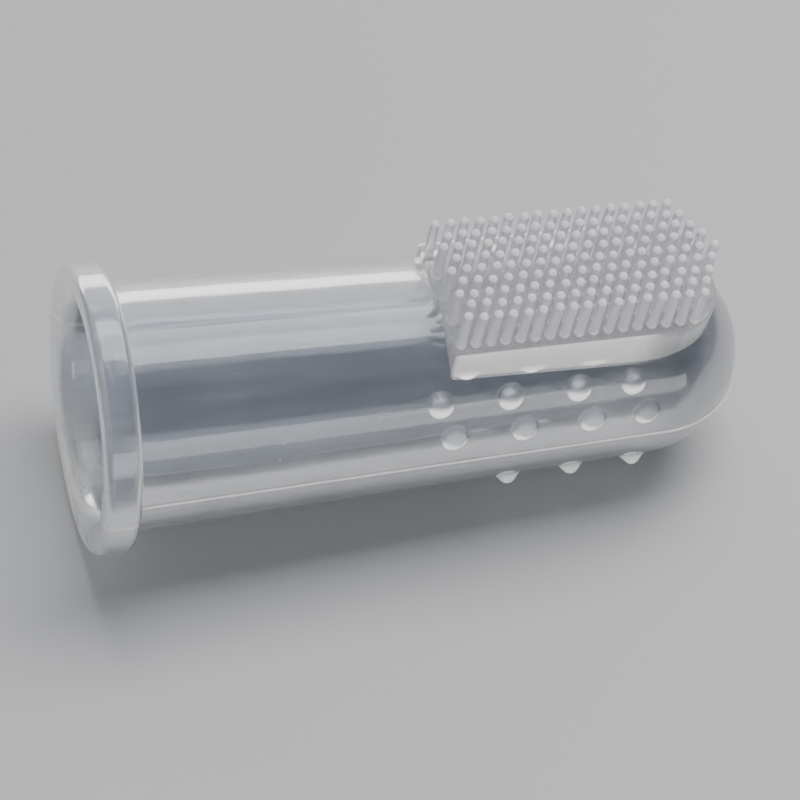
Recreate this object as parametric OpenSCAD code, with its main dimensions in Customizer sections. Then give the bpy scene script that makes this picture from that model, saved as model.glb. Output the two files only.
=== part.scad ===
// Finger-worn pet toothbrush in clear silicone: a tapered finger sleeve with a rolled collar at its
// open mouth, a D-shaped pad of short round bristles and rows of small massage nubs.
// +X runs from the mouth (x = 0) to the closed tip, +Z points out of the pad along the bristles,
// +Y is the left-hand side. The origin is the centre of the mouth. Millimetres.

/* [Sleeve] */
// Overall length, from the mouth to the closed tip
length = 60; // [60:0.5:64]
// Outer diameter of the sleeve at the mouth
mouth_d = 21.7; // [21.4:0.1:21.8]
// Outer diameter of the sleeve where the domed tip starts
tip_d = 18.8; // [18.4:0.1:18.8]
// Diameter of the finger bore
bore_d = 18.4; // [17:0.1:18.6]
// Length of the parallel stretch of the bore, before it tapers
bore_length = 14; // [8:0.5:20]
// Wall thickness at the domed tip
tip_wall = 1.5; // [1.4:0.1:2]

/* [Collar] */
// Outer diameter of the collar round the mouth
collar_d = 25.1; // [24.5:0.1:28]
// Width of the collar along the sleeve
collar_w = 3.2; // [2.5:0.1:5]
// Radius of the collar's rounded outer edges
collar_round = 0.8; // [0.4:0.1:1.1]

/* [Brush pad] */
// Where the pad's straight rear edge lies
pad_start = 30.4; // [30:0.1:30.6]
// Width of the pad
pad_w = 13; // [13:0.1:13.6]
// Height of the pad's flat top above the sleeve's axis
pad_top = 10; // [10:0.05:10.3]
// Length of the rounded nose at the pad's front end
nose_length = 8.3; // [7.8:0.1:8.6]
// How far short of the tip the pad's nose ends
nose_gap = 4.3; // [3.8:0.1:4.3]
// Roundness of the nose: 2 is an ellipse, and more is squarer
nose_power = 2.5; // [2.4:0.1:3.5]
// How deep the pad is let into the sleeve's wall
pad_depth = 0.8; // [0.6:0.05:0.8]

/* [Bristles] */
// Number of bristles in the middle row
middle_count = 19; // [15:1:19]
// Distance from the pad's rear edge to the first bristles
bristle_inset = 0.65; // [0.6:0.05:0.7]
// Spacing of the bristles along a row
bristle_pitch = 1.33; // [1.1:0.01:1.33]
// Spacing of the rows across the pad
row_pitch = 1.28; // [1.2:0.01:1.3]
// Diameter of a bristle at its root
bristle_d = 0.9; // [0.7:0.02:0.9]
// Diameter of a bristle at its round tip
bristle_tip_d = 0.84; // [0.6:0.02:0.86]
// Height of the bristle tips above the sleeve's axis
bristle_top = 14.2; // [12.5:0.1:16]
// Height of the centre of a bristle's ball root above the pad's top
root_lift = 0.15; // [0.1:0.01:0.2]
// Clearance between a bristle's ball root and its seat in the pad
root_gap = 0.03; // [0.02:0.01:0.05]

/* [Nubs] */
// Diameter of a nub where it meets the sleeve
nub_d = 2.1; // [1.6:0.1:2.1]
// Height of a nub
nub_h = 0.85; // [0.6:0.05:1]
// Angle of the upper side row, from straight up
upper_angle = 53.5; // [53:0.5:56]
// Angle of the lower side row
lower_angle = 73; // [70:1:76]
// Angle of the row under the parting line
under_angle = 126; // [115:1:135]

/* [Parting line] */
// Width of the raised line that the two mould halves leave
parting_w = 0.3; // [0.2:0.05:0.5]
// Height of that line above the surface
parting_h = 0.15; // [0.1:0.05:0.3]

/* [Hidden] */

mouth_r = mouth_d / 2;
tip_r = tip_d / 2;
bore_r = bore_d / 2;
inner_tip_r = tip_r - tip_wall;
dome_x = length - tip_r;
// The ball that a nub is the cap of, and how deep its centre lies under the sleeve's surface
nub_ball_r = (pow(nub_d / 2, 2) + nub_h * nub_h) / (2 * nub_h);
nub_sink = nub_ball_r - nub_h;
pivot_z = pad_top + root_lift;
nose_end = length - nose_gap;
nose_x = nose_end - nose_length;
// Where the nubs of each row stand along the sleeve
upper_nub_x = [29.3, 35.6, 41.9, 47];
left_upper_nub_x = [35.6, 41.9, 47];
lower_nub_x = [30.7, 37.1, 43.4, 48.5];
under_nub_x = [37.6, 43.6, 49.5];
// Which side a row of nubs is on
LEFT = -1;
RIGHT = 1;
CLEAR = [0.86, 0.89, 0.93, 0.55];
MILKY = [0.92, 0.93, 0.93, 0.7];
$fn = 64;

// The sleeve's outer radius at x, up to the dome
function sleeve_r(x) = mouth_r + (tip_r - mouth_r) * x / dome_x;

// First and last column of the bristle row that is k rows from the middle
function first_column(k) = (abs(k) % 2) / 2;
function last_column(k) = middle_count - 1 - abs(k) / 2;

// A superellipse point on the pad's nose, for t from 0 at its right corner to 180 at its left one
function nose_point(t) = [nose_x + nose_length * pow(sin(t), 2 / nose_power),
                          -sign(cos(t)) * pad_w / 2 * pow(abs(cos(t)), 2 / nose_power)];

module along_x() {
    rotate([0, 90, 0]) children();
}

// The half of space in front of the plane x = at, as far as the part needs
module ahead_of(at) {
    translate([at, -length / 2, -length / 2]) cube(length);
}

// The tapered body with its domed tip, moved out from the true surface by grow
module sleeve_body(grow = 0) {
    along_x() cylinder(h = dome_x, r1 = mouth_r + grow, r2 = tip_r + grow);
    intersection() {
        translate([dome_x, 0, 0]) along_x() sphere(r = tip_r + grow);
        ahead_of(dome_x);
    }
}

module sleeve_cavity() {
    translate([-1, 0, 0]) along_x() cylinder(h = bore_length + 1, r = bore_r);
    translate([bore_length, 0, 0]) along_x()
        cylinder(h = dome_x - bore_length, r1 = bore_r, r2 = inner_tip_r);
    intersection() {
        translate([dome_x, 0, 0]) along_x() sphere(r = inner_tip_r);
        ahead_of(dome_x);
    }
}

// The D-shaped pad up to the given height, with its underside let into the sleeve's wall
module pad_block(top) {
    difference() {
        linear_extrude(height = top) polygon(concat(
            [[pad_start, pad_w / 2], [pad_start, -pad_w / 2]],
            [for (t = [0 : 7.5 : 180]) nose_point(t)]));
        sleeve_body(-pad_depth);
    }
}

module finger_sleeve() {
    color(CLEAR) difference() {
        sleeve_body();
        sleeve_cavity();
        pad_block(mouth_r + 1);
    }
}

module rim_collar() {
    color(MILKY) difference() {
        union() {
            along_x() translate([0, 0, collar_round])
                cylinder(h = collar_w - 2 * collar_round, d = collar_d);
            along_x() cylinder(h = collar_w, r = collar_d / 2 - collar_round);
            for (x = [collar_round, collar_w - collar_round]) {
                translate([x, 0, 0]) along_x() rotate_extrude()
                    translate([collar_d / 2 - collar_round, 0]) circle(r = collar_round);
            }
        }
        translate([-1, 0, 0]) along_x() cylinder(h = collar_w + 2, r = mouth_r - 1);
        sleeve_body();
    }
}

module bristle_seats() {
    for (k = [-4 : 4]) {
        for (c = [first_column(k) : last_column(k)]) {
            translate([pad_start + bristle_inset + c * bristle_pitch, k * row_pitch, pivot_z])
                sphere(d = bristle_d + 2 * root_gap);
        }
    }
}

module brush_pad() {
    color(MILKY) difference() {
        pad_block(pad_top);
        bristle_seats();
    }
}

// One bristle on its ball root, whose centre is the origin
module bristle() {
    shaft = bristle_top - bristle_tip_d / 2 - pivot_z;
    sphere(d = bristle_d);
    cylinder(h = shaft, d1 = bristle_d, d2 = bristle_tip_d);
    translate([0, 0, shaft]) sphere(d = bristle_tip_d);
}

// Row number 1 is the leftmost and number 9 the rightmost
module bristle_row(number) {
    k = 5 - number;
    color(MILKY) for (c = [first_column(k) : last_column(k)]) {
        translate([pad_start + bristle_inset + c * bristle_pitch, k * row_pitch, pivot_z]) bristle();
    }
}

module bristle_row_1() { bristle_row(1); }
module bristle_row_2() { bristle_row(2); }
module bristle_row_3() { bristle_row(3); }
module bristle_row_4() { bristle_row(4); }
module bristle_row_5() { bristle_row(5); }
module bristle_row_6() { bristle_row(6); }
module bristle_row_7() { bristle_row(7); }
module bristle_row_8() { bristle_row(8); }
module bristle_row_9() { bristle_row(9); }

// A row of nubs at the stations xs, turned by angle from straight up towards one side
module nub_row(xs, angle, side) {
    color(CLEAR) rotate([side * angle, 0, 0]) difference() {
        for (x = xs) {
            translate([x, 0, sleeve_r(x) - nub_sink]) sphere(r = nub_ball_r);
        }
        sleeve_body();
    }
}

module left_upper_nubs() { nub_row(left_upper_nub_x, upper_angle, LEFT); }
module right_upper_nubs() { nub_row(upper_nub_x, upper_angle, RIGHT); }
module left_lower_nubs() { nub_row(lower_nub_x, lower_angle, LEFT); }
module right_lower_nubs() { nub_row(lower_nub_x, lower_angle, RIGHT); }
module left_under_nubs() { nub_row(under_nub_x, under_angle, LEFT); }
module right_under_nubs() { nub_row(under_nub_x, under_angle, RIGHT); }

// The thin raised line where the mould halves met, within the box from low to high
module parting_line(low, high) {
    color(CLEAR) difference() {
        intersection() {
            sleeve_body(parting_h);
            translate([low[0], low[1], -parting_w / 2])
                cube([high[0] - low[0], high[1] - low[1], parting_w]);
        }
        sleeve_body();
    }
}

module left_parting_line() { parting_line([collar_w, 0], [dome_x, mouth_d]); }
module right_parting_line() { parting_line([collar_w, -mouth_d], [dome_x, 0]); }
module tip_parting_line() { parting_line([dome_x, -mouth_d], [length + 1, mouth_d]); }

finger_sleeve();
rim_collar();
brush_pad();
bristle_row_1();
bristle_row_2();
bristle_row_3();
bristle_row_4();
bristle_row_5();
bristle_row_6();
bristle_row_7();
bristle_row_8();
bristle_row_9();
left_upper_nubs();
right_upper_nubs();
left_lower_nubs();
right_lower_nubs();
left_under_nubs();
right_under_nubs();
left_parting_line();
right_parting_line();
tip_parting_line();
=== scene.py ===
"""Looks of the finger-worn pet toothbrush: clear silicone sleeve, milky pad, bristles and nubs.

Lengths are millimetres until a mesh is made, and metres from there on.
"""

import logging
import math
from dataclasses import dataclass, field
from enum import Enum
from typing import Any

import bpy
import numpy as np
from mathutils import Euler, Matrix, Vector
from numpy.typing import NDArray

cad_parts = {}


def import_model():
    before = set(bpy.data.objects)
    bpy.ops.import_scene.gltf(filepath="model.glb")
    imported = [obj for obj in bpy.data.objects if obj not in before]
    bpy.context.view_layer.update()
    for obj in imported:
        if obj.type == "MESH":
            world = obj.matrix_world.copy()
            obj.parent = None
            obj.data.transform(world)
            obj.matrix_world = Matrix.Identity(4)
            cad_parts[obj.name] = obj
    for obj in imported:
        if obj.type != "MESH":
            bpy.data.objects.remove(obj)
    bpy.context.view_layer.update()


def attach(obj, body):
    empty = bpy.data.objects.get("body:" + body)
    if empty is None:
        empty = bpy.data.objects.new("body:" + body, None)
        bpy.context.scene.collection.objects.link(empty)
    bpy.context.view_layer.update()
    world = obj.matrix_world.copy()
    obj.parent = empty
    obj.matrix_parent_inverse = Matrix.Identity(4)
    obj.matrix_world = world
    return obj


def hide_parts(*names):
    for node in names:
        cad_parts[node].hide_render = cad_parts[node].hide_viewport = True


LOG = logging.getLogger("toothbrush")
Array = NDArray[np.float64]
Colour = tuple[float, float, float]
MM = 0.001
ROOT_BODY = "sleeve_moulding"


class Side(Enum):
    """The two mirrored sides of the sleeve; the value is the sign of Y."""

    LEFT = 1.0
    RIGHT = -1.0


class Grain(Enum):
    """Which way the silicone flowed into the mould, as the streaks show it."""

    ALONG = "along"
    UPWARD = "upward"


# ---------------------------------------------------------------- shader maths


class Value:
    """A number socket whose operators add Math nodes to its tree."""

    def __init__(self, graph: "Graph", socket: Any) -> None:
        """Wraps an output socket of the given graph."""
        self.graph = graph
        self.socket = socket

    def _with(self, operation: str, *others: Any, first: bool = True) -> "Value":
        """Adds one Math node.

        Args:
            operation: the Math node's operation.
            others: the other numbers or values, in order.
            first: whether this value is the node's first input.

        Returns:
            The node's result.
        """
        inputs = [self, *others] if first else [*others, self]
        return self.graph.add("ShaderNodeMath", {"operation": operation}, dict(enumerate(inputs)))

    def __add__(self, other: Any) -> "Value":
        """Sum."""
        return self._with("ADD", other)

    __radd__ = __add__

    def __sub__(self, other: Any) -> "Value":
        """Difference."""
        return self._with("SUBTRACT", other)

    def __rsub__(self, other: Any) -> "Value":
        """Difference, the other way."""
        return self._with("SUBTRACT", other, first=False)

    def __mul__(self, other: Any) -> "Value":
        """Product."""
        return self._with("MULTIPLY", other)

    __rmul__ = __mul__

    def at_least(self, other: Any) -> "Value":
        """The larger of the two."""
        return self._with("MAXIMUM", other)

    def at_most(self, other: Any) -> "Value":
        """The smaller of the two."""
        return self._with("MINIMUM", other)

    def angle_from(self, other: Any) -> "Value":
        """The angle whose tangent is this value over the other."""
        return self._with("ARCTAN2", other)

    def ramp(self, low: float, high: float) -> "Value":
        """Smooth step from 0 at low to 1 at high; low may be the larger.

        Args:
            low: where the step is 0.
            high: where the step is 1.

        Returns:
            The stepped value.
        """
        flip = low > high
        sockets = {0: self, 1: min(low, high), 2: max(low, high)}
        sockets.update({3: 1.0, 4: 0.0} if flip else {3: 0.0, 4: 1.0})
        return self.graph.add("ShaderNodeMapRange", {"interpolation_type": "SMOOTHSTEP"}, sockets)


class Graph:
    """One material's node tree."""

    def __init__(self, name: str) -> None:
        """Starts an empty tree in a new material of the given name."""
        self.material = bpy.data.materials.new(name)
        self.material.use_nodes = True
        self.tree = self.material.node_tree
        self.tree.nodes.clear()
        self.output = self.tree.nodes.new("ShaderNodeOutputMaterial")

    def add(self, kind: str, settings: dict[str, Any] | None = None,
            sockets: dict[Any, Any] | None = None, out: Any = 0) -> Value:
        """Adds one node.

        Args:
            kind: the node's type.
            settings: its properties, which are set first.
            sockets: numbers, colours or values by socket name or number.
            out: the output that is wanted, by name or number.

        Returns:
            That output as a value.
        """
        node = self.tree.nodes.new(kind)
        for key, setting in (settings or {}).items():
            setattr(node, key, setting)
        for key, given in (sockets or {}).items():
            if isinstance(given, Value):
                self.tree.links.new(given.socket, node.inputs[key])
            else:
                node.inputs[key].default_value = given
        return Value(self, node.outputs[out])

    def place(self) -> tuple[Value, Value, Value, Value]:
        """Object coordinates: the vector in metres, then x, y and z in millimetres."""
        vector = self.add("ShaderNodeTexCoord", out="Object")
        split = self.add("ShaderNodeSeparateXYZ", sockets={0: vector}).socket.node
        x, y, z = (Value(self, split.outputs[i]) * 1000.0 for i in range(3))
        return vector, x, y, z

    def join(self, x: Any, y: Any, z: Any) -> Value:
        """A vector of three numbers or values."""
        return self.add("ShaderNodeCombineXYZ", sockets={0: x, 1: y, 2: z})

    def noise(self, vector: Value, scale: float, detail: float = 3.0,
              roughness: float = 0.55) -> Value:
        """Noise from 0 to 1 at the given scale.

        Args:
            vector: where it is read.
            scale: its scale.
            detail: its octaves.
            roughness: how strong the fine octaves are.

        Returns:
            The noise.
        """
        return self.add("ShaderNodeTexNoise", sockets={
            "Vector": vector, "Scale": scale, "Detail": detail, "Roughness": roughness})

    def blend(self, factor: Any, low: Any, high: Any) -> Value:
        """A colour between low and high, which are colours or colour values.

        Args:
            factor: 0 gives low and 1 gives high.
            low: the first colour.
            high: the second colour.

        Returns:
            The blended colour.
        """
        rgba = [c if isinstance(c, Value) else (*c, 1.0) for c in (low, high)]
        return self.add("ShaderNodeMix", {"data_type": "RGBA"},
                        {0: factor, 6: rgba[0], 7: rgba[1]}, out=2)

    def finish(self, shader: Value) -> bpy.types.Material:
        """Links the shader to the output and hands over the material."""
        self.tree.links.new(shader.socket, self.output.inputs["Surface"])
        return self.material


# ------------------------------------------------------------------- finishes


@dataclass(frozen=True)
class Silicone:
    """Glossy moulded silicone: clear gel under a wet-looking skin, with milky haze in it.

    haze is how milky it is all over, and each kind of piece adds its own milky places, some of
    them painted light or shade. The milk's emission strength is painted light: the milk gives off
    light though it is no lamp.
    """

    name: str
    tint: Colour = (0.51, 0.555, 0.62)
    milk: Colour = (0.50, 0.52, 0.56)
    haze: float = 0.16
    streaks: float = 0.10
    grain: Grain = Grain.ALONG
    roughness: float = 0.14
    wobble: float = 0.05
    specks: float = 1.0
    # Emission strength of the milk: painted light, since no lamp is there.
    painted_glow: float = 0.0
    coat: float = 1.0

    def _streaks(self, graph: Graph, x: Value, y: Value, z: Value) -> Value:
        """Flow streaks: noise drawn out along the way the silicone flowed."""
        turn = y.angle_from(z) * 10.0
        if self.grain is Grain.ALONG:
            where = graph.join(x * 0.06, turn * 0.9, 0.0)
        else:
            where = graph.join(x * 1.5, y * 1.5, z * 0.2)
        return graph.noise(where, 1.0, 4.0)

    def _milky_places(self, graph: Graph, x: Value, y: Value, z: Value) -> Any:
        """Haze that this kind of piece has on top of the even haze: none here."""
        return 0.0

    def _milk_colour(self, graph: Graph, x: Value, y: Value, z: Value) -> Any:
        """Colour of the milk, which is the same all over here."""
        return self.milk

    def _gel_colour(self, graph: Graph, x: Value, y: Value, z: Value) -> Any:
        """Colour of the clear gel, which is the same all over here."""
        return (*self.tint, 1.0)

    def material(self) -> bpy.types.Material:
        """Builds the finish.

        Returns:
            The material: gel and milk mixed by the haze mask, under one clear skin.
        """
        graph = Graph(self.name)
        vector, x, y, z = graph.place()
        streak = self._streaks(graph, x, y, z)
        cloud = graph.noise(vector, 160.0, 4.0)
        speck = graph.add("ShaderNodeTexVoronoi", {"feature": "F1"},
                          {"Vector": vector, "Scale": 330.0, "Randomness": 1.0}, out="Distance")
        rare = graph.noise(vector, 95.0, 1.0).ramp(0.66, 0.70)
        dust = speck.ramp(0.055, 0.03) * rare * self.specks
        haze = (streak - 0.5) * self.streaks * 2.0 + (cloud - 0.5) * 0.08
        haze = haze + self._milky_places(graph, x, y, z)
        haze = (haze + self.haze + dust * 0.7).at_least(0.0).at_most(1.0)
        waves = graph.noise(graph.join(x * 0.10, y * 0.35, z * 0.35), 1.0, 2.0)
        skin = waves + streak * 0.15 + dust * 0.4
        bump = graph.add("ShaderNodeBump", sockets={
            "Strength": self.wobble, "Distance": 0.0006, "Height": skin})
        gel = graph.add("ShaderNodeBsdfPrincipled", sockets={
            "Base Color": self._gel_colour(graph, x, y, z),
            "Roughness": (cloud * 0.10 + self.roughness - 0.05),
            "IOR": 1.41, "Transmission Weight": 1.0, "Coat Weight": self.coat,
            "Coat Roughness": 0.03, "Coat IOR": 1.41, "Normal": bump})
        deep = self._milk_colour(graph, x, y, z)
        pale = graph.blend(cloud.ramp(0.3, 0.7) * 0.12, deep, (1.0, 1.0, 1.0))
        # The milk emits its pale colour as painted light, though it is no lamp.
        milk = graph.add("ShaderNodeBsdfPrincipled", sockets={
            "Base Color": pale, "Roughness": 0.32, "IOR": 1.41,
            "Subsurface Weight": 0.6, "Subsurface Radius": (0.003, 0.003, 0.0033),
            "Subsurface Scale": 1.0, "Transmission Weight": 0.25, "Coat Weight": self.coat,
            "Coat Roughness": 0.03, "Coat IOR": 1.41, "Normal": bump,
            "Emission Color": pale, "Emission Strength": self.painted_glow})
        both = graph.add("ShaderNodeMixShader", sockets={0: haze, 1: gel, 2: milk})
        return graph.finish(both)


@dataclass(frozen=True)
class SleeveSilicone(Silicone):
    """The sleeve's gel: milky under the collar, with a pale parting line and painted shade at the tip
    and underside.
    """

    # Painted shade: the tint, milk and haze that darken the tip and the underside, and how strongly.
    painted_shade_tint: Colour = (0.22, 0.255, 0.31)
    painted_shade_milk: Colour = (0.05, 0.062, 0.085)
    bright_milk: Colour = (0.95, 0.94, 0.90)
    painted_shade_haze: float = 0.58
    painted_tip_shade: float = 0.95
    painted_under_shade: float = 0.62
    collar_haze: float = 0.12
    sump_haze: float = 0.95
    line_haze: float = 0.90
    line_w: float = 0.19

    def _collar(self, x: Value) -> Value:
        """1 on the collar and 0 past it."""
        return x.ramp(3.5, 2.9)

    def _line(self, z: Value) -> Value:
        """1 on the parting line, where z is near 0."""
        return (z * z).ramp(self.line_w**2 * 1.6, self.line_w**2 * 0.4)

    def _milky_places(self, graph: Graph, x: Value, y: Value, z: Value) -> Any:
        """The collar, more so below, the parting line, and dark haze as painted shade at the tip and
        underside.
        """
        streaks = graph.noise(graph.join(x * 1.3, y.angle_from(z) * 1.2, 7.0), 1.0, 3.0)
        sump = z.ramp(-7.5, -11.5) * self.sump_haze * streaks.ramp(0.25, 0.6)
        line = self._line(z) * x.ramp(3.2, 3.4)
        painted_dark_haze = self._painted_shade_amount(x, z) * (1.0 - line) * self.painted_shade_haze
        return self._collar(x) * (sump + self.collar_haze) + line * self.line_haze + painted_dark_haze

    def _milk_colour(self, graph: Graph, x: Value, y: Value, z: Value) -> Any:
        """Grey in the wall, dark as painted shade at the tip and underside, nearly white on the low
        collar and the line.
        """
        bright = (self._collar(x) * z.ramp(-6.5, -10.5)).at_least(self._line(z))
        milk_with_painted_shade = graph.blend(self._painted_shade_amount(x, z), self.milk, self.painted_shade_milk)
        return graph.blend(bright, milk_with_painted_shade, self.bright_milk)

    def _painted_shade_amount(self, x: Value, z: Value) -> Value:
        """Painted shade: most at the domed tip, and less along the underside."""
        tip = x.ramp(43.0, 54.0) * self.painted_tip_shade
        return tip.at_least(z.ramp(4.5, -3.0) * x.ramp(3.2, 9.0) * self.painted_under_shade)

    def _gel_colour(self, graph: Graph, x: Value, y: Value, z: Value) -> Any:
        """Darker blue-grey as painted shade at the tip and underside."""
        return graph.blend(self._painted_shade_amount(x, z), self.tint, self.painted_shade_tint)


@dataclass(frozen=True)
class PadSilicone(Silicone):
    """The pad's gel: clear from above, with side walls made milky warm white as painted light."""

    wall_y: float = 6.2
    wall_end: float = 50.0
    wall_fade: float = 3.5
    # Milk added to the side walls as painted light, for light that enters the top and leaves by the
    # sides.
    wall_painted_light_haze: float = 0.68

    def _milky_places(self, graph: Graph, x: Value, y: Value, z: Value) -> Any:
        """Painted light on the two long side walls, fading out where the nose curves away."""
        side = (y * y).ramp(self.wall_y**2 - 2.0, self.wall_y**2)
        return side * x.ramp(self.wall_end, self.wall_end - self.wall_fade) * self.wall_painted_light_haze


@dataclass(frozen=True)
class NubSilicone(Silicone):
    """The nubs' gel: each nub has a painted highlight, a pale milky crescent at its lower foot."""

    # Strength of the painted crescent highlight.
    crescent: float = 0.85

    def _milky_places(self, graph: Graph, x: Value, y: Value, z: Value) -> Any:
        """The painted crescent highlight, from the mesh's own measure of how low on its nub a point
        lies.
        """
        low = graph.add("ShaderNodeAttribute", {"attribute_name": "low_side"}, out="Fac")
        return low.ramp(-0.05, 0.50) * self.crescent


@dataclass(frozen=True)
class BristleSilicone(Silicone):
    """The bristles' gel: lavender-grey shafts, with painted highlights in white at the ball tips and
    the feet.
    """

    # Heights of the painted highlights at the feet and at the tips.
    foot: tuple[float, float] = (10.75, 10.15)
    tip: tuple[float, float] = (13.72, 13.98)

    def _painted_end_highlights(self, z: Value) -> Value:
        """1 at a bristle's ball tip and at its foot, where the highlights are painted."""
        return z.ramp(*self.tip).at_least(z.ramp(*self.foot) * 0.8)

    def _milky_places(self, graph: Graph, x: Value, y: Value, z: Value) -> Any:
        """Painted highlights at the ends, with clearer shafts between them."""
        return self._painted_end_highlights(z) * 0.45

    def _milk_colour(self, graph: Graph, x: Value, y: Value, z: Value) -> Any:
        """White at the ends as painted highlight, and the milk's own colour between."""
        return graph.blend(self._painted_end_highlights(z), self.milk, (1.0, 1.0, 1.0))


@dataclass(frozen=True)
class StudioFloor:
    """Plain pale floor paint, faintly uneven."""

    name: str = "studio_floor"
    colour: Colour = (0.55, 0.55, 0.55)
    roughness: float = 0.45

    def material(self) -> bpy.types.Material:
        """Builds the paint."""
        graph = Graph(self.name)
        vector, _, _, _ = graph.place()
        cloud = graph.noise(vector, 6.0, 3.0)
        paint = graph.add("ShaderNodeBsdfPrincipled", sockets={
            "Base Color": graph.blend(cloud, self.colour, tuple(c * 0.97 for c in self.colour)),
            "Roughness": self.roughness})
        return graph.finish(paint)


# --------------------------------------------------------------------- meshes


def piece_from(name: str, points: Array, faces: list[Array], smooth: float = 40.0) -> Any:
    """Makes a shaded mesh object.

    Args:
        name: the piece's name.
        points: its corners in millimetres, one a row.
        faces: arrays of corner numbers, one face a row.
        smooth: edges sharper than this many degrees stay sharp.

    Returns:
        The object, at the origin.
    """
    mesh = bpy.data.meshes.new(name)
    mesh.from_pydata((points * MM).tolist(), [], [row for rows in faces for row in rows.tolist()])
    mesh.shade_smooth()
    mesh.set_sharp_from_angle(angle=math.radians(smooth))
    mesh.validate()
    made = bpy.data.objects.new(name, mesh)
    bpy.context.collection.objects.link(made)
    return made


def tube_faces(rows: int, columns: int, start: int = 0) -> Array:
    """Quads of a grid that closes on itself in the column direction.

    Args:
        rows: the grid's rows.
        columns: its columns.
        start: the number of its first corner.

    Returns:
        One quad a row, turned so that rows running up and columns running
        anticlockwise, seen from above, face outwards.
    """
    i, j = np.meshgrid(np.arange(rows - 1), np.arange(columns), indexing="ij")
    k = (j + 1) % columns
    quads = np.stack([i * columns + j, i * columns + k, (i + 1) * columns + k,
                      (i + 1) * columns + j], axis=-1)
    return quads.reshape(-1, 4) + start


def cap_faces(ring: Array, pole: int, turned: bool) -> Array:
    """Triangles from a ring of corners to a pole; turned swaps which side faces out."""
    after = np.roll(ring, -1)
    order = (after, ring) if turned else (ring, after)
    return np.stack([*order, np.full_like(ring, pole)], axis=-1)


def lathe_faces(rows: int, columns: int, start: int = 0) -> list[Array]:
    """A closed tube: rows from the bottom up, then its bottom pole and its top pole.

    Args:
        rows: the rows between the poles.
        columns: the columns.
        start: the number of the first corner.

    Returns:
        The quads and the two caps.
    """
    last = start + rows * columns
    bottom = np.arange(columns) + start
    top = bottom + (rows - 1) * columns
    return [tube_faces(rows, columns, start), cap_faces(bottom, last, True),
            cap_faces(top, last + 1, False)]


def bend(centre: tuple[float, float], radius: float, first: float, last: float,
         count: int) -> Array:
    """Points on an arc: centre plus radius times the cosine and sine of the angle.

    Args:
        centre: the arc's centre.
        radius: its radius.
        first: its first angle in degrees.
        last: its last angle in degrees.
        count: how many points.

    Returns:
        The points, one a row.
    """
    turn = np.radians(np.linspace(first, last, count))
    return np.stack([centre[0] + radius * np.cos(turn), centre[1] + radius * np.sin(turn)], axis=-1)


def stretch(first: tuple[float, float], last: tuple[float, float], count: int) -> Array:
    """Points strictly between two ends of a straight stretch."""
    share = np.linspace(0.0, 1.0, count + 2)[1:-1, None]
    return np.array(first) * (1 - share) + np.array(last) * share


# --------------------------------------------------------------------- pieces


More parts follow.
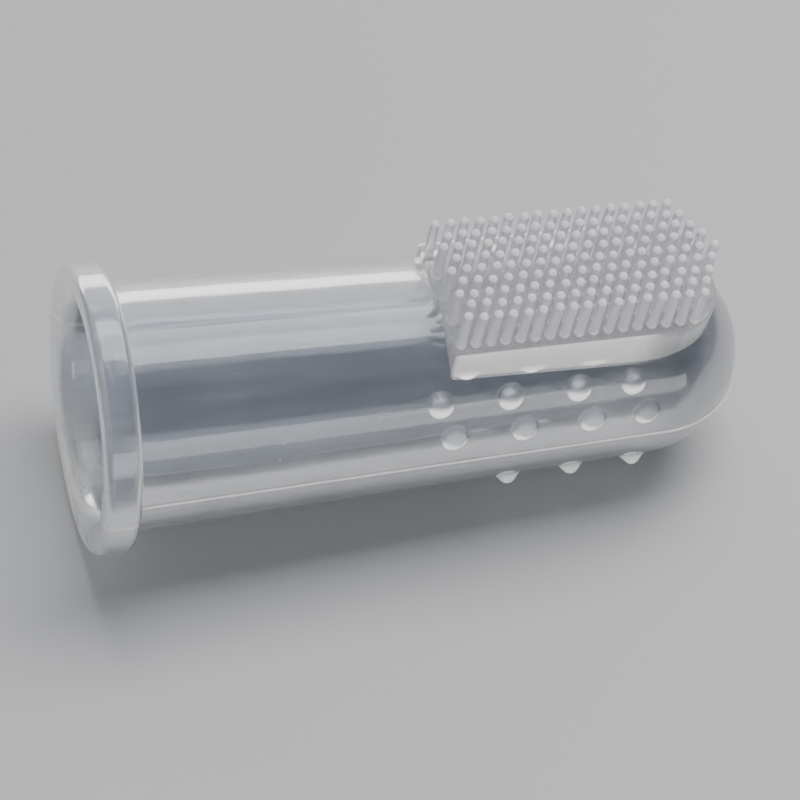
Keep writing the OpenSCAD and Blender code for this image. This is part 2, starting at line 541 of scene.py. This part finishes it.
@dataclass
class Sleeve:
    """The clear finger sleeve with its collar and its parting line.

    outer_rows is how many of the outline's last points may carry the parting line's ridge.
    """

    finish: Silicone
    length: float = 60.0
    mouth_r: float = 10.85
    tip_r: float = 9.4
    bore_r: float = 9.2
    bore_length: float = 14.0
    tip_wall: float = 1.5
    collar_r: float = 12.55
    collar_w: float = 3.2
    collar_round: float = 0.8
    lip_depth: float = 1.9
    lip_round: float = 2.1
    foot_round: float = 0.3
    ridge_h: float = 0.15
    ridge_w: float = 0.16
    outer_rows: int = 58

    @property
    def dome_x(self) -> float:
        """Where the domed tip starts."""
        return self.length - self.tip_r

    def radius(self, x: Array) -> Array:
        """Outer radius at x: a straight taper from mouth to dome, then the dome's circle."""
        taper = self.mouth_r + (self.tip_r - self.mouth_r) * x / self.dome_x
        past = np.clip(x - self.dome_x, 0.0, self.tip_r)
        return np.where(x <= self.dome_x, taper, np.sqrt(self.tip_r**2 - past**2))

    def profile(self) -> Array:
        """The wall's outline as x and radius, from inside the tip round the mouth to outside it."""
        inner_r = self.tip_r - self.tip_wall
        c, w, r = self.collar_r, self.collar_w, self.collar_round
        foot = float(self.radius(np.array(w))) + self.foot_round
        lip = self.bore_r + self.lip_round
        return np.concatenate([
            bend((self.dome_x, 0.0), inner_r, 4.0, 90.0, 18),
            stretch((self.dome_x, inner_r), (self.bore_length, self.bore_r), 12),
            np.array([[self.bore_length, self.bore_r]]),
            stretch((self.bore_length, self.bore_r), (self.lip_depth, self.bore_r), 8),
            np.array([0.0, lip]) + bend((1.0, 0.0), 1.0, 270.0, 180.0, 10)
            * np.array([self.lip_depth, self.lip_round]),
            stretch((0.0, lip), (0.0, c - r), 3),
            bend((r, c - r), r, 180.0, 90.0, 9),
            stretch((r, c), (w - r, c), 3),
            bend((w - r, c - r), r, 90.0, 0.0, 9),
            bend((w + self.foot_round, foot), self.foot_round, 180.0, 270.0, 6),
            stretch((w + self.foot_round, foot - self.foot_round), (self.dome_x, self.tip_r), 30),
            bend((self.dome_x, 0.0), self.tip_r, 90.0, 3.0, 26),
        ])

    def turns(self) -> Array:
        """Angles round the sleeve, closer together where the parting line's ridge runs."""
        even = np.arange(0.0, 360.0, 2.5)
        near = np.array([-2.0, -1.35, -0.9, -0.45, 0.0, 0.45, 0.9, 1.35, 2.0])
        from_line = np.minimum(even % 180.0, 180.0 - even % 180.0)
        kept = even[from_line > 2.2]
        return np.radians(np.sort(np.concatenate([kept, near % 360.0, near + 180.0])))

    def build(self) -> Any:
        """Builds the shell: the profile turned round X, with the ridge raised where z is near 0.

        Returns:
            The piece.
        """
        outline, turns = self.profile(), self.turns()
        x = np.repeat(outline[:, :1], len(turns), axis=1)
        r = np.repeat(outline[:, 1:], len(turns), axis=1)
        y, z = np.cos(turns) * r, np.sin(turns) * r
        outside = np.arange(len(outline)) > len(outline) - self.outer_rows
        outer = outside[:, None] & (x > self.collar_w)
        lift = self.ridge_h * np.exp(-((z / self.ridge_w) ** 2)) * outer
        along = np.clip(x - self.dome_x, 0.0, None) / self.tip_r
        x, y = x + lift * along, y * (1 + lift / np.maximum(r, 0.5))
        grid = np.stack([x, y, z], axis=-1).reshape(-1, 3)
        inside = [self.length - self.tip_wall, 0.0, 0.0]
        tip = [self.length + self.ridge_h, 0.0, 0.0]
        points = np.concatenate([grid, [inside, tip]])
        faces = lathe_faces(len(outline), len(turns))
        # Reversing the corners makes these faces point inwards, which is a known fault
        return piece_from("finger_sleeve_clear", points, [f[:, ::-1] for f in faces])

    def dress(self, piece: Any) -> None:
        """Gives the sleeve its finish and its place in the frame."""
        piece.data.materials.append(self.finish.material())
        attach(piece, ROOT_BODY)
        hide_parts("finger_sleeve", "rim_collar", "left_parting_line",
                    "right_parting_line", "tip_parting_line")


@dataclass
class GateRing:
    """The small raised ring that the mould's gate leaves on the flared lip, low in the mouth."""

    sleeve: Sleeve
    turn: float = -101.25
    slope: float = 238.5
    radius: float = 0.55
    thickness: float = 0.11

    def build(self) -> Any:
        """Builds the ring: a circle carried round a circle that lies flat on the lip.

        The lip is a quarter ellipse turned round X, and the ring lies in the plane that
        touches it at the given turn round X and slope along the ellipse.

        Returns:
            The piece.
        """
        about, slope = math.radians(self.turn), math.radians(self.slope)
        lip_d, lip_r = self.sleeve.lip_depth, self.sleeve.lip_round
        radial = np.array([0.0, math.cos(about), math.sin(about)])
        along = np.array([1.0, 0.0, 0.0])
        reach = self.sleeve.bore_r + lip_r * (1 + math.sin(slope))
        middle = along * lip_d * (1 + math.cos(slope)) + radial * reach
        ahead = -along * lip_d * math.sin(slope) + radial * lip_r * math.cos(slope)
        ahead /= np.linalg.norm(ahead)
        across = np.cross(along, radial)
        outward = np.cross(ahead, across)
        big, small = (np.linspace(0.0, 2 * np.pi, n, endpoint=False) for n in (32, 10))
        r = self.radius + self.thickness * np.cos(small)
        flat = np.cos(big)[:, None, None] * ahead + np.sin(big)[:, None, None] * across
        rise = (self.thickness * np.sin(small))[None, :, None] * outward
        points = (middle + flat * r[None, :, None] + rise).reshape(-1, 3)
        i, j = np.meshgrid(np.arange(len(big)), np.arange(len(small)), indexing="ij")
        k, m = (i + 1) % len(big), (j + 1) % len(small)
        width = len(small)
        quads = np.stack([i * width + j, k * width + j, k * width + m, i * width + m],
                         axis=-1).reshape(-1, 4)
        return piece_from("gate_ring", points, [quads], 60.0)

    def dress(self, piece: Any, material: bpy.types.Material) -> None:
        """Gives the ring its finish and its place in the frame."""
        piece.data.materials.append(material)
        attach(piece, ROOT_BODY)


@dataclass
class BrushPad:
    """The D-shaped pad that the bristles stand on, sunk a little into the sleeve's wall."""

    sleeve: Sleeve
    finish: Silicone
    start: float = 30.4
    width: float = 13.0
    top: float = 10.0
    nose_length: float = 8.3
    nose_gap: float = 4.3
    nose_power: float = 2.5
    sunk: float = 0.3
    corner: float = 0.35
    edge: float = 0.22

    def outline(self) -> Array:
        """The pad from above: a superellipse nose, straight sides and a straight rear edge."""
        half, c = self.width / 2, self.corner
        nose_x = self.sleeve.length - self.nose_gap - self.nose_length
        t = np.linspace(0.0, np.pi, 73)
        power = 2.0 / self.nose_power
        nose = np.stack([nose_x + self.nose_length * np.sin(t) ** power,
                         -np.sign(np.cos(t)) * half * np.abs(np.cos(t)) ** power], axis=-1)
        return np.concatenate([
            nose,
            stretch((nose_x, half), (self.start + c, half), 20),
            bend((self.start + c, half - c), c, 90.0, 180.0, 5),
            stretch((self.start, half - c), (self.start, c - half), 16),
            bend((self.start + c, c - half), c, 180.0, 270.0, 5),
            stretch((self.start + c, -half), (nose_x, -half), 20),
        ])

    def build(self) -> Any:
        """Builds the pad as nested rings.

        The rings run from the middle of the underside, which is the sleeve's surface sunk a
        little, out to the outline, up the side walls, round the top edge and back in over
        the flat top.

        Returns:
            The piece.
        """
        rim = self.outline()
        ahead = np.roll(rim, -1, axis=0) - np.roll(rim, 1, axis=0)
        outward = np.stack([ahead[:, 1], -ahead[:, 0]], axis=-1)
        outward /= np.linalg.norm(outward, axis=1, keepdims=True)
        middle = np.array([(self.start + self.sleeve.length - self.nose_gap) / 2, 0.0])

        def floor_z(flat: Array) -> Array:
            """Height of the sunk underside: the sleeve's circle at each x."""
            deep = self.sleeve.radius(flat[..., 0]) - self.sunk
            return np.sqrt(np.clip(deep**2 - flat[..., 1] ** 2, 0.0, None))

        rings = [middle + (rim - middle) * s for s in np.linspace(0.12, 1.0, 10)]
        under = [np.column_stack([ring, floor_z(ring)]) for ring in rings]
        base = under[-1][:, 2]
        high = self.top - self.edge
        wall = [np.column_stack([rim, base + (high - base) * s]) for s in (0.2, 0.45, 0.7, 0.9)]
        for turn in np.radians(np.linspace(0.0, 90.0, 5)):
            inset = rim - outward * self.edge * (1 - math.cos(turn))
            level = np.full(len(rim), high + self.edge * math.sin(turn))
            wall.append(np.column_stack([inset, level]))
        lid_rim = rim - outward * self.edge
        lid = [np.column_stack([middle + (lid_rim - middle) * s, np.full(len(rim), self.top)])
               for s in (0.97, 0.8, 0.5, 0.15)]
        rows = under + wall + lid
        poles = [[*middle, float(floor_z(middle))], [*middle, self.top]]
        points = np.concatenate([*rows, poles])
        return piece_from("brush_pad_milky", points, lathe_faces(len(rows), len(rim)), 35.0)

    def dress(self, piece: Any) -> None:
        """Gives the pad its finish and its place in the frame."""
        piece.data.materials.append(self.finish.material())
        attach(piece, ROOT_BODY)
        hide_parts("brush_pad")


@dataclass
class NubRow:
    """A row of domed massage nubs on one side of the sleeve."""

    sleeve: Sleeve
    name: str
    side: Side
    angle: float
    stations: tuple[float, ...]
    radius: float = 1.25
    height: float = 0.86
    sunk: float = 0.12
    squareness: float = 1.25
    fade_from: float = 0.84
    wall: float = 0.0

    def build(self) -> Any:
        """Builds the row: each nub is a soft round bump laid on the sleeve's curve.

        The height over the sleeve is half a cosine wave of the distance from the nub's middle,
        squared off a little, so that the nub's foot runs out softly; past the foot it dips
        under the surface and closes below. A wall is the side of the pad that cuts the inner
        part off. low_side is how far towards its lower foot a point of a nub lies, faded out at
        the very edge of a whole nub.

        Returns:
            The piece.
        """
        out = np.linspace(1.0, 0.06, 14) * self.radius
        up = self.height * (1 + np.cos(np.pi * (out / self.radius) ** self.squareness)) / 2
        foot_out = np.array([0.10, 0.55, 0.99, 1.01]) * self.radius
        foot_up = np.array([-1.0, -1.0, -1.0, -0.3]) * self.sunk
        out, up = np.concatenate([foot_out, out]), np.concatenate([foot_up, up])
        turn = np.linspace(0.0, 2 * np.pi, 28, endpoint=False)
        rows, columns = len(out), len(turn)
        points, faces = [], []
        for number, station in enumerate(self.stations):
            along = np.append((out[:, None] * np.cos(turn)).ravel(), [0.0, 0.0])
            across = np.append((out[:, None] * np.sin(turn)).ravel(), [0.0, 0.0])
            lift = np.append(np.repeat(up, columns), [-self.sunk, self.height])
            x = station + along
            about = self.sleeve.radius(np.array(station))
            at = math.radians(self.angle) - across / about
            reach = self.sleeve.radius(x) + lift
            y, z = np.sin(at) * reach, np.cos(at) * reach
            if self.wall:
                y = np.maximum(y, self.wall)
            points.append(np.stack([x, y * self.side.value, z], axis=-1))
            faces += lathe_faces(rows, columns, number * (rows * columns + 2))
        turned = self.side is Side.LEFT
        row = piece_from(self.name, np.concatenate(points),
                         [f[:, ::-1] if turned else f for f in faces], 60.0)
        # The measure below places the nubs' painted crescent highlight towards the lower foot.
        share = out[:, None] / self.radius
        past = np.clip((share - self.fade_from) / (1.0 - self.fade_from), 0.0, 1.0)
        fade = 1.0 if self.wall else 1.0 - past**2
        low = np.append((share * fade * -np.sin(turn)).ravel(), [0.0, 0.0])
        slot = row.data.attributes.new("low_side", "FLOAT", "POINT")
        slot.data.foreach_set("value", np.tile(low, len(self.stations)).astype(np.float32))
        return row

    def dress(self, piece: Any, material: bpy.types.Material, node: str = "") -> None:
        """Gives the row its finish and its place in the frame.

        Args:
            piece: the row.
            material: the nubs' shared material.
            node: the frame's node that it stands for, if there is one.
        """
        piece.data.materials.append(material)
        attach(piece, ROOT_BODY)
        if node:
            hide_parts(node)


@dataclass
class BristleRow:
    """One row of round-tipped bristles, which leans as one."""

    number: int
    pad: BrushPad
    middle_count: int = 19
    inset: float = 0.65
    pitch: float = 1.33
    row_pitch: float = 1.28
    root_r: float = 0.45
    root_lift: float = 0.15
    tip_r: float = 0.42
    tip_z: float = 14.2
    sides: int = 12
    seed: int = 40
    stray: float = 0.017

    def stations(self) -> Array:
        """Where the bristles stand along the sleeve; every other row starts half a pitch on."""
        k = abs(5 - self.number)
        columns = np.arange((k % 2) / 2, self.middle_count - 1 - k / 2 + 0.01)
        return self.pad.start + self.inset + columns * self.pitch

    def build(self) -> Any:
        """Builds the row: a lathed profile with a ball root and a ball tip, set at each station.

        Each bristle leans a degree or so its own way, from a seeded generator.

        Returns:
            The piece.
        """
        top = self.pad.top
        neck = self.tip_z - self.tip_r
        cap = np.radians([0.0, 38.0, 70.0])
        ball = np.radians([-62.0, -20.0])
        root = top + self.root_lift
        radii = np.concatenate([self.root_r * np.cos(ball), [self.root_r + 0.03, self.root_r],
                                self.tip_r * np.cos(cap)])
        heights = np.concatenate([root + self.root_r * np.sin(ball), [root, root + 0.25],
                                  neck + self.tip_r * np.sin(cap)])
        turn = np.linspace(0.0, 2 * np.pi, self.sides, endpoint=False)
        rows = len(radii)
        x = np.append((radii[:, None] * np.cos(turn)).ravel(), [0.0, 0.0])
        y = np.append((radii[:, None] * np.sin(turn)).ravel(), [0.0, 0.0])
        z = np.append(np.repeat(heights, self.sides), [root - self.root_r, self.tip_z])
        rng = np.random.default_rng(self.seed + self.number)
        points, faces = [], []
        for number, station in enumerate(self.stations()):
            lean = rng.normal(0.0, self.stray, 2)
            rise = np.clip(z - root, 0.0, None)
            points.append(np.stack([x + station + lean[0] * rise,
                                    y + (5 - self.number) * self.row_pitch + lean[1] * rise,
                                    z], axis=-1))
            faces += lathe_faces(rows, self.sides, number * (rows * self.sides + 2))
        return piece_from(f"bristles_{self.number}", np.concatenate(points), faces, 60.0)

    def dress(self, piece: Any, material: bpy.types.Material) -> None:
        """Gives the row its finish and lets it lean with its body."""
        piece.data.materials.append(material)
        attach(piece, f"row_{self.number}")
        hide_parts(f"bristle_row_{self.number}")


# --------------------------------------------------------------------- studio


@dataclass
class Softbox:
    """A rectangular soft light aimed at the brush.

    lean is its direction seen along X, in degrees from straight up towards -Y.
    """

    name: str
    lean: float
    long_side: float
    short_side: float
    power: float
    shift_x: float
    distance: float = 0.60
    colour: Colour = (1.0, 1.0, 1.0)

    def build(self, target: Vector) -> None:
        """Adds the light.

        Args:
            target: the point it faces.
        """
        lamp = bpy.data.lights.new(self.name, "AREA")
        lamp.shape = "RECTANGLE"
        lamp.size, lamp.size_y = self.long_side, self.short_side
        lamp.energy, lamp.color = self.power, self.colour
        rig = bpy.data.objects.new(self.name, lamp)
        bpy.context.collection.objects.link(rig)
        turn = math.radians(self.lean)
        rig.location = target + Vector((self.shift_x, -math.sin(turn) * self.distance,
                                        math.cos(turn) * self.distance))
        rig.rotation_euler = Euler((turn, 0.0, 0.0))
        rig.visible_camera = False


@dataclass
class Studio:
    """Camera, lights, world and floor."""

    lights: list[Softbox] = field(default_factory=lambda: [
        Softbox("overhead_strip", lean=-15.0, long_side=0.60, short_side=0.36, power=3.9, shift_x=0.18),
        Softbox("rear_softbox", lean=-50.0, long_side=1.0, short_side=0.38, power=0.45, shift_x=0.12),
        Softbox("back_strip", lean=-79.0, long_side=1.0, short_side=0.20, power=1.2, shift_x=0.12),
        Softbox("front_strip", lean=82.0, long_side=0.7, short_side=0.20, power=1.6, shift_x=0.14),
    ])
    focal_length: float = 118.85
    eye_at: tuple[float, float, float] = (-0.036776, -0.131822, 0.178965)
    eye_turn: tuple[float, float, float] = (37.965, -9.2512, -15.0287)
    floor_drop: float = 12.65
    floor_rise: float = 0.0635
    world_strength: float = 0.30

    def camera(self) -> None:
        """Places the camera."""
        lens = bpy.data.cameras.new("camera")
        lens.lens, lens.sensor_width = self.focal_length, 36.0
        lens.clip_start, lens.clip_end = 0.005, 50.0
        eye = bpy.data.objects.new("camera", lens)
        bpy.context.collection.objects.link(eye)
        eye.location = self.eye_at
        eye.rotation_euler = Euler([math.radians(a) for a in self.eye_turn])
        bpy.context.scene.camera = eye

    def floor(self, finish: StudioFloor) -> None:
        """Lays the floor under the collar and the tip: a plane that rises gently along X."""
        count, reach = 41, 3000.0
        side = np.linspace(-reach, reach, count)
        x, y = np.meshgrid(side + 30.0, side, indexing="ij")
        z = x * self.floor_rise - self.floor_drop
        points = np.stack([x, y, z], axis=-1).reshape(-1, 3)
        i, j = np.meshgrid(np.arange(count - 1), np.arange(count - 1), indexing="ij")
        first = (i * count + j).ravel()
        quads = np.stack([first, first + count, first + count + 1, first + 1], axis=-1)
        floor = piece_from("floor", points, [quads])
        floor.data.materials.append(finish.material())

    def build(self) -> None:
        """Builds the whole studio."""
        self.camera()
        target = Vector((0.03, 0.0, 0.0))
        for light in self.lights:
            light.build(target)
        self.floor(StudioFloor())
        world = bpy.data.worlds.new("studio")
        world.use_nodes = True
        sky = world.node_tree.nodes["Background"]
        sky.inputs["Color"].default_value = (0.86, 0.90, 1.0, 1.0)
        sky.inputs["Strength"].default_value = self.world_strength
        bpy.context.scene.world = world


# The emission strength given to each finish below is painted light.
CLEAR = SleeveSilicone("clear_silicone_skin", painted_glow=0.12)
PAD = PadSilicone("milky_silicone_pad", tint=(0.90, 0.90, 0.92), milk=(0.95, 0.93, 0.90),
                  haze=0.30, streaks=0.12, grain=Grain.UPWARD, specks=0.3, painted_glow=0.22)
NUBS = NubSilicone("clear_silicone_nubs", tint=(0.44, 0.48, 0.54), milk=(0.92, 0.90, 0.86),
                   haze=0.04, streaks=0.03, roughness=0.26, specks=0.0, painted_glow=0.95, coat=0.2)
BRISTLES = BristleSilicone("bristle_silicone_skin", tint=(0.95, 0.95, 0.99),
                           milk=(0.80, 0.80, 0.88), haze=0.42, streaks=0.10, grain=Grain.UPWARD,
                           roughness=0.12, specks=0.0, painted_glow=0.16)

GATE = Silicone("milky_silicone_gate", tint=(0.80, 0.83, 0.87), milk=(0.92, 0.91, 0.88),
                haze=0.55, streaks=0.05, specks=0.0, painted_glow=0.25)

NUB_ROWS: tuple[tuple[str, float, tuple[float, ...]], ...] = (
    ("upper", 53.5, (29.3, 35.6, 41.9, 47.0)),
    ("lower", 73.0, (30.7, 37.1, 43.4, 48.5)),
    ("under", 126.0, (37.6, 43.6, 49.5)),
)
SLIVER_STATIONS = (31.8, 37.6, 43.3)
SLIVER_ANGLE, SLIVER_HEIGHT, SLIVER_WALL = 35.4, 0.20, 6.42


def main() -> None:
    """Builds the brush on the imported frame, then the studio."""
    logging.basicConfig(level=logging.INFO, format="%(name)s: %(message)s")
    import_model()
    sleeve = Sleeve(CLEAR)
    body = sleeve.build()
    sleeve.dress(body)
    LOG.info("%s: %d faces", body.name, len(body.data.polygons))
    pad = BrushPad(sleeve, PAD)
    block = pad.build()
    pad.dress(block)
    LOG.info("%s: %d faces", block.name, len(block.data.polygons))
    nub_material = NUBS.material()
    for side in Side:
        for kind, angle, stations in NUB_ROWS:
            node = f"{side.name.lower()}_{kind}_nubs"
            if node == "left_upper_nubs":
                # That row has no first nub
                stations = stations[1:]
            row = NubRow(sleeve, f"{node}_clear", side, angle, stations)
            nubs = row.build()
            row.dress(nubs, nub_material, node)
            LOG.info("%s: %d faces", nubs.name, len(nubs.data.polygons))
        row = NubRow(sleeve, f"{side.name.lower()}_pad_slivers", side, SLIVER_ANGLE,
                     SLIVER_STATIONS, height=SLIVER_HEIGHT, wall=SLIVER_WALL)
        slivers = row.build()
        row.dress(slivers, nub_material)
    ring = GateRing(sleeve)
    mark = ring.build()
    ring.dress(mark, GATE.material())
    LOG.info("%s: %d faces", mark.name, len(mark.data.polygons))
    bristle_material = BRISTLES.material()
    for number in range(1, 10):
        bristles = BristleRow(number, pad)
        tuft = bristles.build()
        bristles.dress(tuft, bristle_material)
        LOG.info("%s: %d faces", tuft.name, len(tuft.data.polygons))
    Studio().build()


if __name__ == "__main__":
    main()
